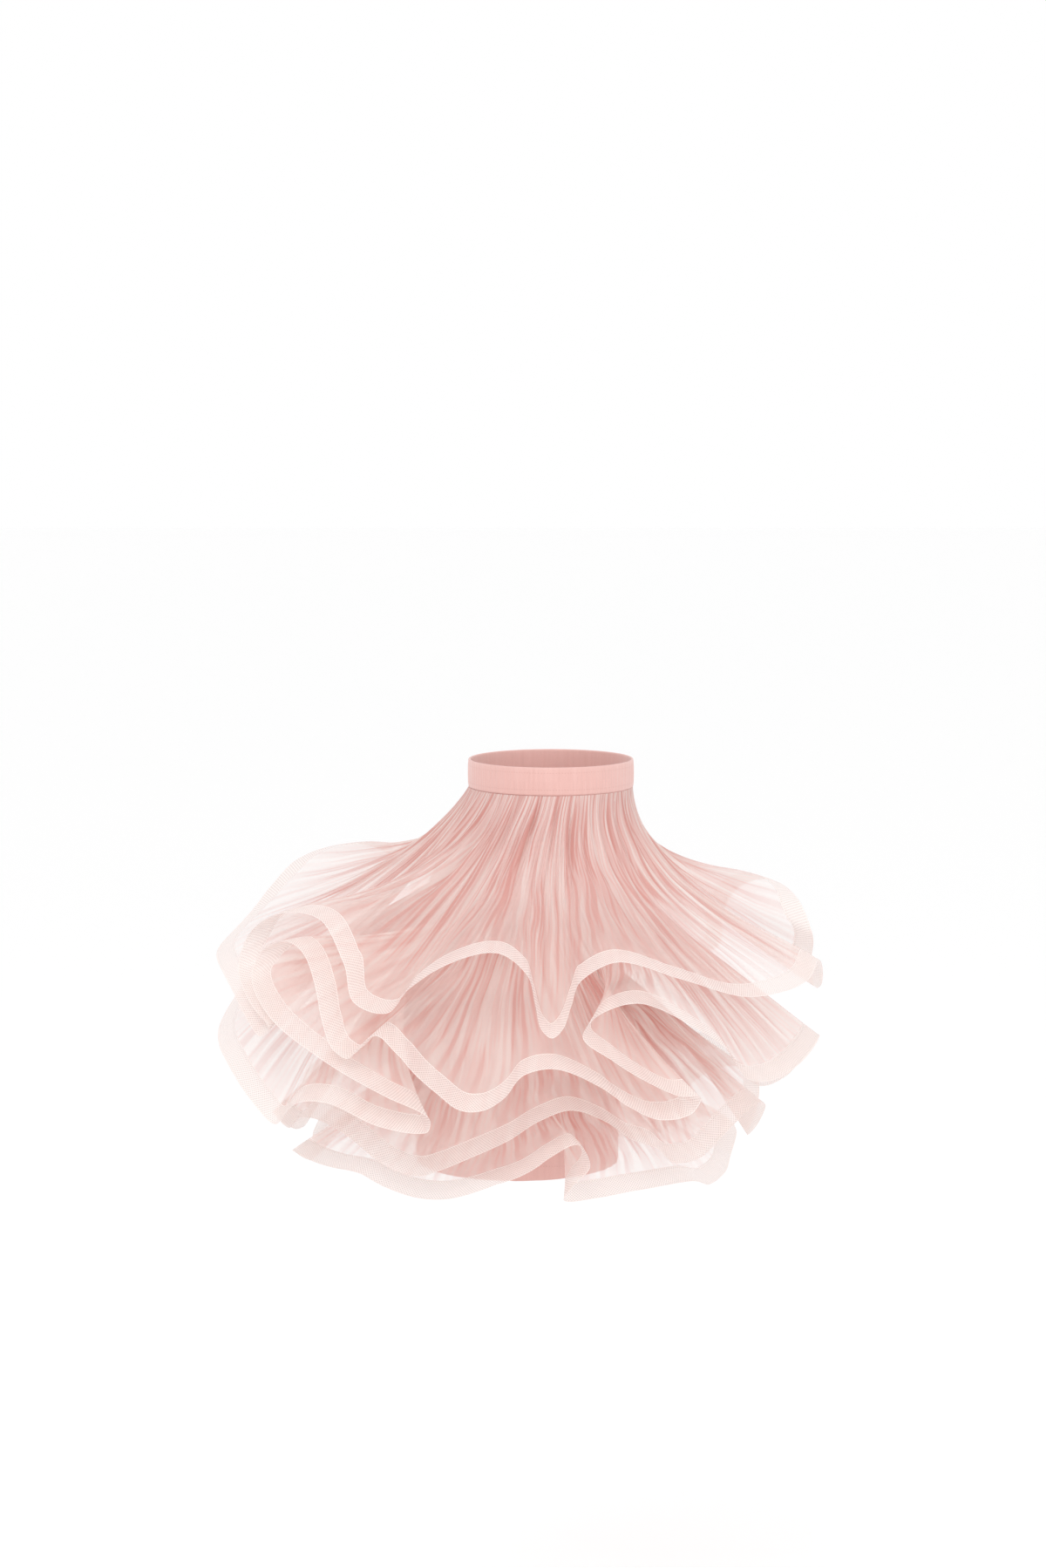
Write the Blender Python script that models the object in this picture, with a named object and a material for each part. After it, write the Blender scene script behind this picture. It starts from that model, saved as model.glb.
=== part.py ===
"""A tiered ruffle mini skirt, worn and filled out, as a Blender model in metres, +Z up.

The wearer faces -Y and the wearer's right side is -X. The origin is the middle of the waistband, where
the waist holds the skirt. A slim underskirt hangs from the waistband. Four flounces of pleated organza
flare from it, the first from the waistband and the others from seams lower down. Each flounce ends in a
stiff woven braid, which holds its hem in rolling waves.

Every hem is a closed wave on one rounded shell, a flattened ball around the hips. Its table gives the
crests, troughs and turns of that wave in order. Where the angles double back, the hem rolls over into a
flute. A flounce is the cloth between its seam and its hem.
"""

import bpy
import numpy as np

MM = 0.001

# Cloth, in metres.
WALL = 1.0 * MM  # thickness of each cloth wall
SEAM_GAP = 0.3 * MM  # between two pieces at a seam
BRAID_WIDTH = 23 * MM  # the stiff braid at each hem
BAND_TOP = 15 * MM
BAND_BOTTOM = -15 * MM
BAND_WALL = 3.6 * MM  # an elastic in its casing
BODY_COLUMNS = 48  # columns of faces round the waistband and the underskirt
SEAM_OUT = WALL + SEAM_GAP  # a flounce's seam stands this far outside the underskirt's middle
BRAID_LEVELS = (0.88, 0.965)  # the braid starts between these shares of a flounce's length
LEVEL_STEP = 0.01  # a short step down a flounce, to find its slope
RIM_ANGLE = 1.0  # in radians: edges sharper than this are drawn as edges

# The underskirt, from the waist down: height, half width, half depth and how far back its middle lies.
# All in millimetres.
UNDERSKIRT = (
    (-15.3, 121, 87, 0),
    (-60, 140, 97, 10),
    (-110, 157, 106, 22),
    (-170, 167, 112, 32),
    (-240, 168, 113, 35),
    (-330, 164, 111, 36),
    (-420, 160, 109, 36),
)

# The shell that the hems lie on, in millimetres.
SHELL_HALF_WIDTH = 362
SHELL_HALF_DEPTH = 330
SHELL_HALF_HEIGHT = 295
SHELL_BACK = 35
SHELL_MIDDLE = -235

# The hem waves. Angle in degrees from the front, through the wearer's right side at 90, and the height
# in millimetres. A row for each crest, trough or turn.
HEM_1 = (
    (2, -207),
    (10, -190),
    (20, -204),
    (32, -210),
    (45, -207),
    (59, -180),
    (71, -158),
    (78.5, -176),
    (80.5, -204),
    (82, -230),
    (84, -241),
    (86, -229),
    (87, -200),
    (88.5, -168),
    (94, -147),
    (103, -159),
    (110, -187),
    (114, -216),
    (121, -206),
    (124, -165),
    (132, -124),
    (145, -124),
    (154, -150),
    (155, -188),
    (148, -226),
    (142, -249),
    (145.5, -260),
    (151, -239),
    (157, -214),
    (166, -196),
    (181, -186),
    (193, -176),
    (202, -156),
    (207.5, -130),
    (213, -105),
    (224, -93),
    (238, -102),
    (247, -145),
    (246, -195),
    (250, -228),
    (260, -224),
    (265, -175),
    (273, -124),
    (287, -110),
    (299, -136),
    (298, -190),
    (303, -228),
    (313, -217),
    (316, -167),
    (324, -134),
    (338, -122),
    (350, -138),
    (353, -172),
    (347, -212),
    (349, -240),
    (356, -232),
)
HEM_2 = (
    (3, -284),
    (12, -286),
    (23, -299),
    (34, -308),
    (43, -298),
    (48.5, -266),
    (57, -231),
    (67, -201),
    (75, -209),
    (78.5, -236),
    (74, -262),
    (67, -288),
    (59, -309),
    (53.5, -314),
    (55, -331),
    (62, -334),
    (69, -317),
    (75, -294),
    (83, -274),
    (89, -280),
    (92.5, -304),
    (96.5, -318),
    (101, -318),
    (105, -301),
    (109, -281),
    (112.5, -258),
    (116, -239),
    (119.5, -252),
    (122.3, -270),
    (125.7, -260),
    (127.8, -228),
    (130, -190),
    (134, -160),
    (140, -149),
    (147, -162),
    (149, -190),
    (143.5, -224),
    (135, -255),
    (125, -283),
    (115, -308),
    (107, -328),
    (108, -345),
    (118, -341),
    (128, -322),
    (137, -326),
    (149, -358),
    (157, -334),
    (166, -303),
    (179, -286),
    (194, -266),
    (206, -238),
    (219, -231),
    (230, -258),
    (230, -302),
    (237, -334),
    (247, -324),
    (251, -280),
    (260, -250),
    (274, -246),
    (284, -274),
    (284, -312),
    (292, -336),
    (302, -338),
    (311, -332),
    (319, -338),
    (326, -354),
    (334, -362),
    (343, -346),
    (351, -316),
)
HEM_3 = (
    (4, -384),
    (14, -352),
    (25, -344),
    (34, -366),
    (40, -392),
    (50, -392),
    (57, -372),
    (64, -360),
    (71, -338),
    (79, -322),
    (86, -336),
    (92, -356),
    (101, -377),
    (110, -395),
    (116, -402),
    (124, -392),
    (132, -363),
    (140, -350),
    (148, -353),
    (158, -371),
    (171, -363),
    (182, -380),
    (192, -397),
    (203, -392),
    (207, -360),
    (216, -338),
    (229, -336),
    (239, -360),
    (240, -393),
    (250, -399),
    (260, -391),
    (265, -356),
    (275, -340),
    (289, -344),
    (298, -376),
    (303, -397),
    (313, -397),
    (318, -362),
    (328, -342),
    (342, -344),
    (352, -374),
    (357, -396),
)
HEM_4 = (
    (8, -430),
    (23, -434),
    (39, -420),
    (58, -421),
    (69, -426),
    (78, -427),
    (76, -406),
    (73.5, -378),
    (77, -352),
    (82.5, -364),
    (89, -389),
    (96, -408),
    (108, -426),
    (118, -428),
    (127, -418),
    (134, -404),
    (143, -404),
    (152, -402),
    (162, -397),
    (171, -404),
    (179, -418),
    (190, -428),
    (203, -405),
    (214, -388),
    (226, -398),
    (236, -424),
    (249, -428),
    (260, -402),
    (272, -386),
    (285, -398),
    (295, -424),
    (308, -428),
    (319, -404),
    (331, -388),
    (343, -398),
    (354, -422),
)

# A flounce leaves its seam towards a guide ring and then bends out to its hem. The first column is the
# seam's height, then the guide's height, half width, half depth and how far back its middle lies, all
# in millimetres, and the share of the shell's width that the hem reaches. The last two are the columns
# and rows of faces.
TIERS = {
    "1": (BAND_BOTTOM / MM - 0.3, -112, 176, 116, 27, 1.0, 128, 6, HEM_1),
    "2": (-122, -165, 215, 166, 33, 1.0, 128, 5, HEM_2),
    "3": (-220, -262, 210, 162, 35, 0.9, 104, 5, HEM_3),
    "4": (-312, -345, 192, 145, 36, 0.91, 96, 4, HEM_4),
}
WAVE_STEPS = 48  # steps between two rows of a hem table, before it is read evenly
SMOOTHING = 0.07  # share of the hem that the seam's spacing is evened over
LEAST_GATHER = 0.35  # the seam never runs slower than this share of its mean along the hem

COLOURS = {
    "waistband": ((0.74, 0.47, 0.43), 0.60),
    "underskirt": ((0.72, 0.44, 0.40), 0.50),
    "flounce": ((0.84, 0.60, 0.56), 0.55),
    "braid": ((0.87, 0.74, 0.70), 0.40),
}


def clear_scene():
    for obj in list(bpy.data.objects):
        bpy.data.objects.remove(obj, do_unlink=True)


def material(name):
    """The Principled material of one kind of piece."""
    found = bpy.data.materials.get(name)
    if found:
        return found
    colour, roughness = COLOURS[name]
    made = bpy.data.materials.new(name)
    made.use_nodes = True
    shader = made.node_tree.nodes["Principled BSDF"]
    shader.inputs["Base Color"].default_value = (*colour, 1.0)
    shader.inputs["Roughness"].default_value = roughness
    shader.inputs["Metallic"].default_value = 0.0
    return made


def ring(half_width, half_depth, back, height, angle):
    """Points of an ellipse round the body: angle 0 is the front and 90 degrees the wearer's right."""
    x = -half_width * np.sin(angle)
    y = back - half_depth * np.cos(angle)
    return np.stack([x, y, height + 0.0 * x], axis=-1)


def underskirt_sizes(height):
    """Half width, half depth and set-back of the underskirt at a height, all in metres."""
    table = np.array(UNDERSKIRT[::-1]) * MM
    return [np.interp(height, table[:, 0], table[:, column]) for column in (1, 2, 3)]


def smooth_loop(rows):
    """The closed curve through a hem table, and the step that one whole turn makes.

    A point is a distance round the shell and a height, in metres. Between two rows the curve is a cubic
    whose slope at each row is that of the line between the row's two neighbours.
    """
    points = np.array(rows, float)
    across = np.radians(points[:, 0]) * SHELL_HALF_DEPTH * MM
    points = np.stack([across, points[:, 1] * MM], axis=1)
    whole_turn = np.array([2 * np.pi * SHELL_HALF_DEPTH * MM, 0.0])
    before = np.roll(points, 1, axis=0)
    before[0] -= whole_turn
    after = np.roll(points, -1, axis=0)
    after[-1] += whole_turn
    back_step = np.linalg.norm(points - before, axis=1)[:, None]
    step = np.linalg.norm(after - points, axis=1)[:, None]
    slope = (after - before) / (step + back_step)
    t = np.linspace(0, 1, WAVE_STEPS, endpoint=False)[None, :, None]
    start, end = points[:, None, :], after[:, None, :]
    leave = (slope * step)[:, None, :]
    arrive = (np.roll(slope, -1, axis=0) * step)[:, None, :]
    curve = (
        (2 * t**3 - 3 * t**2 + 1) * start
        + (t**3 - 2 * t**2 + t) * leave
        + (3 * t**2 - 2 * t**3) * end
        + (t**3 - t**2) * arrive
    ).reshape(-1, 2)
    return curve, whole_turn


def hem_wave(rows, columns):
    """Angle and height of the hem, and angle at the seam, for even steps along the hem."""
    curve, whole_turn = smooth_loop(rows)
    closed = np.vstack([curve, curve[0] + whole_turn])
    length = np.concatenate([[0], np.cumsum(np.linalg.norm(np.diff(closed, axis=0), axis=1))])
    share = np.arange(columns) / columns
    fine = np.linspace(0, 1, len(curve) + 1)
    even = np.stack([np.interp(fine * length[-1], length, closed[:, k]) for k in (0, 1)], axis=1)
    angle = even[:, 0] / (SHELL_HALF_DEPTH * MM)
    # The seam's angle grows with the hem's own, evened along the hem and never standing still.
    growth = np.diff(angle)
    apart = np.fft.rfftfreq(len(growth), 1 / len(growth))
    blur = np.exp(-2 * (np.pi * apart * SMOOTHING) ** 2)
    evened = np.fft.irfft(np.fft.rfft(growth) * blur, len(growth))
    evened = np.maximum(evened, LEAST_GATHER * evened.mean())
    seam = np.concatenate([[0], np.cumsum(evened)])
    seam *= 2 * np.pi / seam[-1]
    seam += (angle - seam)[:-1].mean()
    return [np.interp(share, fine, values) for values in (angle, even[:, 1], seam)]


def flounce_surface(tier, levels):
    """Points of a flounce: a curve from the seam by a guide ring to the hem, at each column and level.

    A point is (1-v)(1-v) of the seam, 2v(1-v) of the guide and v*v of the hem, in angle, height,
    width, depth and set-back alike. levels holds v for each column and row.
    """
    seam_z, guide_z, guide_width, guide_depth, guide_back, reach, columns, _, rows = TIERS[tier]
    hem_angle, hem_z, seam_angle = hem_wave(rows, columns)
    width, depth, back = underskirt_sizes(seam_z * MM)
    rise = (hem_z - SHELL_MIDDLE * MM) / (SHELL_HALF_HEIGHT * MM)
    share = reach * np.sqrt(1 - rise**2)
    angle, height, half_width, half_depth, set_back = (
        (1 - levels) ** 2 * np.reshape(first, (-1, 1))
        + 2 * levels * (1 - levels) * np.reshape(middle, (-1, 1))
        + levels**2 * np.reshape(last, (-1, 1))
        for first, middle, last in (
            (seam_angle, seam_angle, hem_angle),
            (seam_z * MM, guide_z * MM, hem_z),
            (width + SEAM_OUT, guide_width * MM, SHELL_HALF_WIDTH * MM * share),
            (depth + SEAM_OUT, guide_depth * MM, SHELL_HALF_DEPTH * MM * share),
            (back, guide_back * MM, SHELL_BACK * MM),
        )
    )
    return ring(half_width, half_depth, set_back, height, angle)


def cloth_normals(points, down):
    """The cloth's outward direction at each point: along the columns crossed with down the rows."""
    along = np.roll(points, -1, axis=0) - np.roll(points, 1, axis=0)
    normals = np.cross(along, down)
    return normals / np.linalg.norm(normals, axis=-1, keepdims=True)


def flounce_cloth(tier, levels):
    """Points and outward directions of a flounce at these levels, the same for cloth and braid."""
    points = flounce_surface(tier, levels)
    down = flounce_surface(tier, levels + LEVEL_STEP) - flounce_surface(tier, levels - LEVEL_STEP)
    return points, cloth_normals(points, down)


def braid_start(tier):
    """The level where the braid starts in each column, so that it is one width all along the hem.

    It also returns how much of a level the seam gap is there.
    """
    columns = TIERS[tier][6]
    near_hem = flounce_surface(tier, np.tile([1 - LEVEL_STEP, 1.0], (columns, 1)))
    hem = near_hem[:, 1]
    along = np.roll(hem, -1, axis=0) - np.roll(hem, 1, axis=0)
    along /= np.linalg.norm(along, axis=1, keepdims=True)
    per_level = np.linalg.norm(np.cross(hem - near_hem[:, 0], along), axis=1) / LEVEL_STEP
    start = np.clip(1 - BRAID_WIDTH / per_level, *BRAID_LEVELS)
    return start, SEAM_GAP / per_level


def wall_object(name, points, normals, kind, thickness, collection):
    """A closed ring of cloth: a face on each side of its middle surface, joined along both rims.

    points and normals run round the body, then down.
    """
    columns, rows = points.shape[:2]
    outer = np.arange(columns * rows).reshape(columns, rows)
    inner = outer + columns * rows
    outer_next, inner_next = np.roll(outer, -1, axis=0), np.roll(inner, -1, axis=0)
    quads = (
        (outer[:, :-1], outer_next[:, :-1], outer_next[:, 1:], outer[:, 1:]),
        (inner[:, :-1], inner[:, 1:], inner_next[:, 1:], inner_next[:, :-1]),
        (outer[:, 0], inner[:, 0], inner_next[:, 0], outer_next[:, 0]),
        (outer[:, -1], outer_next[:, -1], inner_next[:, -1], inner[:, -1]),
    )
    faces = np.concatenate([np.stack(quad, axis=-1).reshape(-1, 4) for quad in quads])
    half = 0.5 * thickness * normals
    corners = np.concatenate([(points + half).reshape(-1, 3), (points - half).reshape(-1, 3)])
    mesh = bpy.data.meshes.new(name)
    mesh.from_pydata(corners.tolist(), [], faces.tolist())
    mesh.update()
    mesh.shade_smooth()
    mesh.set_sharp_from_angle(angle=RIM_ANGLE)
    mesh.materials.append(material(kind))
    obj = bpy.data.objects.new(name, mesh)
    collection.objects.link(obj)


def body_ring(name, sizes, thickness, collection):
    """A wall round the body through rings of these heights, half widths, half depths and set-backs."""
    angle = np.linspace(0, 2 * np.pi, BODY_COLUMNS, endpoint=False)
    rings = [ring(width, depth, back, height, angle) for height, width, depth, back in sizes]
    points = np.stack(rings, axis=1)
    down = np.gradient(points, axis=1)
    wall_object(name, points, cloth_normals(points, down), name, thickness, collection)


def build_waistband(collection):
    """The band lies over the top edges of the underskirt and of the first flounce."""
    width, depth, back = underskirt_sizes(BAND_BOTTOM)
    middle = 0.5 * SEAM_OUT
    sizes = [(height, width + middle, depth + middle, back) for height in (BAND_TOP, BAND_BOTTOM)]
    body_ring("waistband", sizes, BAND_WALL, collection)


def build_underskirt(collection):
    body_ring("underskirt", np.array(UNDERSKIRT) * MM, WALL, collection)


def build_flounce(tier, collection):
    """The pleated cloth down to the braid, and the braid as the wall's next stretch."""
    rows = TIERS[tier][7]
    start, gap = braid_start(tier)
    cloth = np.linspace(0, 1, rows + 1)[None, :] * (start - gap)[:, None]
    wall_object(f"flounce_{tier}", *flounce_cloth(tier, cloth), "flounce", WALL, collection)
    braid = np.stack([start, np.ones_like(start)], axis=1)
    wall_object(f"braid_{tier}", *flounce_cloth(tier, braid), "braid", WALL, collection)


def main():
    clear_scene()
    collection = bpy.data.collections.new("ruffle_mini_skirt")
    bpy.context.scene.collection.children.link(collection)
    build_waistband(collection)
    build_underskirt(collection)
    for tier in TIERS:
        build_flounce(tier, collection)


main()
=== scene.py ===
# %% [markdown]
# # A tiered ruffle mini skirt
#
# The skirt is a slim opaque underskirt under four flounces of sheer, crinkle-pleated organza. A stiff woven
# braid is sewn to each hem, and it makes the hems stand out and roll. The solids already hold every piece in
# its place, so this script dresses them: finer cloth, pleats, weave, stitching, light and camera.
#
# The steps are: the frame and its sizes, the camera, a small way of writing materials, the hem waves, the
# cloth worked out from them, the finishes, and last the stage. Such cloth could also come from a simulation,
# but there each hem falls where it likes. Formulas put every crest where it is wanted, and give the same
# result in each run.

import bpy
import numpy as np
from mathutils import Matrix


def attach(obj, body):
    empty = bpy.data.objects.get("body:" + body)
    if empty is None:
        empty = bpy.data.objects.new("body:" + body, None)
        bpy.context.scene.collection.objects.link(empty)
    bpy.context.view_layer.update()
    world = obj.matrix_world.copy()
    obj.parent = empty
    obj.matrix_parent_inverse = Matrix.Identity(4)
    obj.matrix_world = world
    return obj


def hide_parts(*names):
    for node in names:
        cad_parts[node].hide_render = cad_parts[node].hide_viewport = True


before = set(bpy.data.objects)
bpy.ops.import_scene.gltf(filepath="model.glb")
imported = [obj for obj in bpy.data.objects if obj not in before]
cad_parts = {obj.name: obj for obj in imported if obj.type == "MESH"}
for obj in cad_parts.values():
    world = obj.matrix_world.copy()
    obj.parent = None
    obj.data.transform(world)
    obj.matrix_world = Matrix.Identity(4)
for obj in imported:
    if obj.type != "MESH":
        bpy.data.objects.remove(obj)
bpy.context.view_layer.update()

# %% [markdown]
# ## Driving sizes
#
# Blender works in metres, and clothes are drawn in millimetres. The tables below are in millimetres, and MM
# turns them into metres. They are the sizes that the solids were made from, so the cloth lies on the solids
# with no fitting.

# %% Driving sizes
MM = 0.001
WALL = 1.0 * MM
SEAM_GAP = 0.3 * MM
SEAM_OUT = WALL + SEAM_GAP
BRAID_WIDTH = 23 * MM
BRAID_LEVELS = (0.88, 0.965)
LEVEL_STEP = 0.01
BAND_TOP = 15 * MM
BAND_BOTTOM = -15 * MM

SHELL_HALF_WIDTH = 362 * MM
SHELL_HALF_DEPTH = 330 * MM
SHELL_HALF_HEIGHT = 295 * MM
SHELL_BACK = 35 * MM
SHELL_MIDDLE = -235 * MM

# How far each flounce's edge sags, the share of its length where that starts, and how flat the cloth must
# stand out for the sag to begin and to be full, as a share of its length that points outwards.
SAG = {"1": 9 * MM, "2": 9 * MM, "3": 4 * MM, "4": 9 * MM}
SAG_START = 0.86
SAG_FROM, SAG_FULL = 0.85, 0.97

# Points between two rows of a hem table, how strongly the seam's angle is evened out, and the slowest that
# it may grow, as a share of its mean.
WAVE_STEPS = 48
SMOOTHING = 0.07
LEAST_GATHER = 0.35

# The underskirt, from the waist down: height, half width, half depth, how far back its middle lies.
UNDERSKIRT = (
    (-15.3, 121, 87, 0),
    (-60, 140, 97, 10),
    (-110, 157, 106, 22),
    (-170, 167, 112, 32),
    (-240, 168, 113, 35),
    (-330, 164, 111, 36),
    (-420, 160, 109, 36),
)
print("shell of the hems", 2 * SHELL_HALF_WIDTH, "by", 2 * SHELL_HALF_DEPTH, "by", 2 * SHELL_HALF_HEIGHT, "m")

# %% [markdown]
# ## The camera
#
# The skirt is seen from the wearer's right side with a long lens, from 5 degrees above level. One photo
# pixel is 0.94 mm at the skirt's middle, and the frame is 1200 by 1799 pixels. The lens follows from those
# numbers: the frame's height in metres, over the distance, is the sensor's height over the focal length.

# %% The camera
FRAME_HEIGHT_PX = 1799
PX = 0.94 * MM
CAMERA_DISTANCE = 6.0
CAMERA_ELEVATION = np.radians(5.0)
CAMERA_TARGET = np.array([0.0, 30 * MM, -13 * MM])
SENSOR_HEIGHT = 24.0

camera_data = bpy.data.cameras.new("camera")
camera_data.sensor_fit = "VERTICAL"
camera_data.sensor_height = SENSOR_HEIGHT
camera_data.lens = SENSOR_HEIGHT * CAMERA_DISTANCE / (FRAME_HEIGHT_PX * PX)
camera_data.clip_end = 100.0
camera = bpy.data.objects.new("camera", camera_data)
bpy.context.scene.collection.objects.link(camera)
away = np.array([-np.cos(CAMERA_ELEVATION), 0.0, np.sin(CAMERA_ELEVATION)])
camera.location = CAMERA_TARGET + CAMERA_DISTANCE * away
camera.rotation_euler = (np.pi / 2 - CAMERA_ELEVATION, 0.0, -np.pi / 2)
bpy.context.scene.camera = camera
print("lens", round(camera_data.lens, 2), "mm")

# %% [markdown]
# ## Writing materials as sums
#
# A material is a graph of nodes. Wired by hand it is long and hard to read, so one small class wraps a
# socket and turns +, - and * into Math nodes. The graph then reads like the sum that it is, and every other
# kind of node comes from one method, `node`.


# %% A socket that can be added and multiplied
class Wire:
    """One output socket of a material's graph."""

    def __init__(self, recipe, socket):
        self.recipe = recipe
        self.socket = socket

    def math(self, operation, *others):
        """A Math node with this value first."""
        inputs = dict(enumerate((self, *others)))
        return self.recipe.node("ShaderNodeMath", inputs, operation=operation)

    def flipped(self, operation, other):
        """A Math node with this value second, for sums such as 1 - mask."""
        return self.recipe.node("ShaderNodeMath", {0: other, 1: self}, operation=operation)

    def __add__(self, other):
        return self.math("ADD", other)

    __radd__ = __add__

    def __sub__(self, other):
        return self.math("SUBTRACT", other)

    def __rsub__(self, other):
        return self.flipped("SUBTRACT", other)

    def __mul__(self, other):
        return self.math("MULTIPLY", other)

    __rmul__ = __mul__

    def between(self, low, high):
        """0 below low, 1 above high, and a soft step from one to the other."""
        return self.recipe.node(
            "ShaderNodeMapRange", {0: self, 1: low, 2: high}, interpolation_type="SMOOTHSTEP"
        )


class Recipe:
    """A material and the nodes that make it."""

    def __init__(self, name):
        self.material = bpy.data.materials.new(name)
        self.material.use_nodes = True
        self.tree = self.material.node_tree
        self.tree.nodes.clear()

    def node(self, kind, inputs=None, out=0, **settings):
        """Adds a node, sets its settings first, then its sockets, and returns one of its outputs, if any."""
        made = self.tree.nodes.new(kind)
        for key, value in settings.items():
            setattr(made, key, value)
        for key, value in (inputs or {}).items():
            if isinstance(value, Wire):
                self.tree.links.new(value.socket, made.inputs[key])
            elif isinstance(value, tuple) and len(value) == 3 and made.inputs[key].type == "RGBA":
                made.inputs[key].default_value = (*value, 1.0)
            else:
                made.inputs[key].default_value = value
        return Wire(self, made.outputs[out]) if made.outputs else None

    def colour(self, share, first, second):
        """A colour that goes from first to second as share goes from 0 to 1."""
        return self.node(
            "ShaderNodeMix", {0: share, 6: first, 7: second}, out=2, data_type="RGBA"
        )

    def uv(self):
        """The cloth's own two coordinates as two wires."""
        place = self.node("ShaderNodeUVMap", uv_map="cloth")
        parts = self.node("ShaderNodeSeparateXYZ", {0: place})
        return parts, Wire(self, parts.socket.node.outputs[1])

    def noise(self, across, down, detail=2.0):
        """Soft random values between 0 and 1 over two coordinates."""
        place = self.node("ShaderNodeCombineXYZ", {0: across, 1: down})
        return self.node(
            "ShaderNodeTexNoise",
            {"Vector": place, "Scale": 1.0, "Detail": detail},
            noise_dimensions="2D",
        )

    def finish(self, shader):
        """Ends the graph in a shader and returns the material."""
        self.node("ShaderNodeOutputMaterial", {0: shader})
        print("material", self.material.name, "has", len(self.tree.nodes), "nodes")
        return self.material

    def veil(self, cover, cloth, colour, bump, through):
        """Sheer: clear where cover is 0, and where it is 1 a cloth that lets a share of the light through."""
        glow = self.node("ShaderNodeBsdfTranslucent", {"Color": colour, "Normal": bump})
        lit = self.node("ShaderNodeMixShader", {0: through, 1: cloth, 2: glow})
        clear = self.node("ShaderNodeBsdfTransparent")
        return self.finish(self.node("ShaderNodeMixShader", {0: cover, 1: clear, 2: lit}))


# %% [markdown]
# ## The hem waves
#
# A hem with a stiff braid can't gather into small ripples. It stands out from the body and snakes up and
# down, and where it has too much length it rolls over on itself. On the real skirt every hem point is about
# as far from the hips as every other, so all four hems are drawn on one shell, a flattened ball round the
# hips. Each table lists the crests, troughs and turns of one hem: an angle round the body, from the front
# through the wearer's right side at 90 degrees, and a height. Where the angle doubles back the hem rolls
# over.

# %% The hem tables
HEM_1 = (
    (2, -207),
    (10, -190),
    (20, -204),
    (32, -210),
    (45, -207),
    (59, -180),
    (71, -158),
    (78.5, -176),
    (80.5, -204),
    (82, -230),
    (84, -241),
    (86, -229),
    (87, -200),
    (88.5, -168),
    (94, -147),
    (103, -159),
    (110, -187),
    (114, -216),
    (121, -206),
    (124, -165),
    (132, -124),
    (145, -124),
    (154, -150),
    (155, -188),
    (148, -226),
    (142, -249),
    (145.5, -260),
    (151, -239),
    (157, -214),
    (166, -196),
    (181, -186),
    (193, -176),
    (202, -156),
    (207.5, -130),
    (213, -105),
    (224, -93),
    (238, -102),
    (247, -145),
    (246, -195),
    (250, -228),
    (260, -224),
    (265, -175),
    (273, -124),
    (287, -110),
    (299, -136),
    (298, -190),
    (303, -228),
    (313, -217),
    (316, -167),
    (324, -134),
    (338, -122),
    (350, -138),
    (353, -172),
    (347, -212),
    (349, -240),
    (356, -232),
)
HEM_2 = (
    (3, -284),
    (12, -286),
    (23, -299),
    (34, -308),
    (43, -298),
    (48.5, -266),
    (57, -231),
    (67, -201),
    (75, -209),
    (78.5, -236),
    (74, -262),
    (67, -288),
    (59, -309),
    (53.5, -314),
    (55, -331),
    (62, -334),
    (69, -317),
    (75, -294),
    (83, -274),
    (89, -280),
    (92.5, -304),
    (96.5, -318),
    (101, -318),
    (105, -301),
    (109, -281),
    (112.5, -258),
    (116, -239),
    (119.5, -252),
    (122.3, -270),
    (125.7, -260),
    (127.8, -228),
    (130, -190),
    (134, -160),
    (140, -149),
    (147, -162),
    (149, -190),
    (143.5, -224),
    (135, -255),
    (125, -283),
    (115, -308),
    (107, -328),
    (108, -345),
    (118, -341),
    (128, -322),
    (137, -326),
    (149, -358),
    (157, -334),
    (166, -303),
    (179, -286),
    (194, -266),
    (206, -238),
    (219, -231),
    (230, -258),
    (230, -302),
    (237, -334),
    (247, -324),
    (251, -280),
    (260, -250),
    (274, -246),
    (284, -274),
    (284, -312),
    (292, -336),
    (302, -338),
    (311, -332),
    (319, -338),
    (326, -354),
    (334, -362),
    (343, -346),
    (351, -316),
)
HEM_3 = (
    (4, -384),
    (14, -352),
    (25, -344),
    (34, -366),
    (40, -392),
    (50, -392),
    (57, -372),
    (64, -360),
    (71, -338),
    (79, -322),
    (86, -336),
    (92, -356),
    (101, -377),
    (110, -395),
    (116, -402),
    (124, -392),
    (132, -363),
    (140, -350),
    (148, -353),
    (158, -371),
    (171, -363),
    (182, -380),
    (192, -397),
    (203, -392),
    (207, -360),
    (216, -338),
    (229, -336),
    (239, -360),
    (240, -393),
    (250, -399),
    (260, -391),
    (265, -356),
    (275, -340),
    (289, -344),
    (298, -376),
    (303, -397),
    (313, -397),
    (318, -362),
    (328, -342),
    (342, -344),
    (352, -374),
    (357, -396),
)
HEM_4 = (
    (8, -430),
    (23, -434),
    (39, -420),
    (58, -421),
    (69, -426),
    (78, -427),
    (76, -406),
    (73.5, -378),
    (77, -352),
    (82.5, -364),
    (89, -389),
    (96, -408),
    (108, -426),
    (118, -428),
    (127, -418),
    (134, -404),
    (143, -404),
    (152, -402),
    (162, -397),
    (171, -404),
    (179, -418),
    (190, -428),
    (203, -405),
    (214, -388),
    (226, -398),
    (236, -424),
    (249, -428),
    (260, -402),
    (272, -386),
    (285, -398),
    (295, -424),
    (308, -428),
    (319, -404),
    (331, -388),
    (343, -398),
    (354, -422),
)

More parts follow.
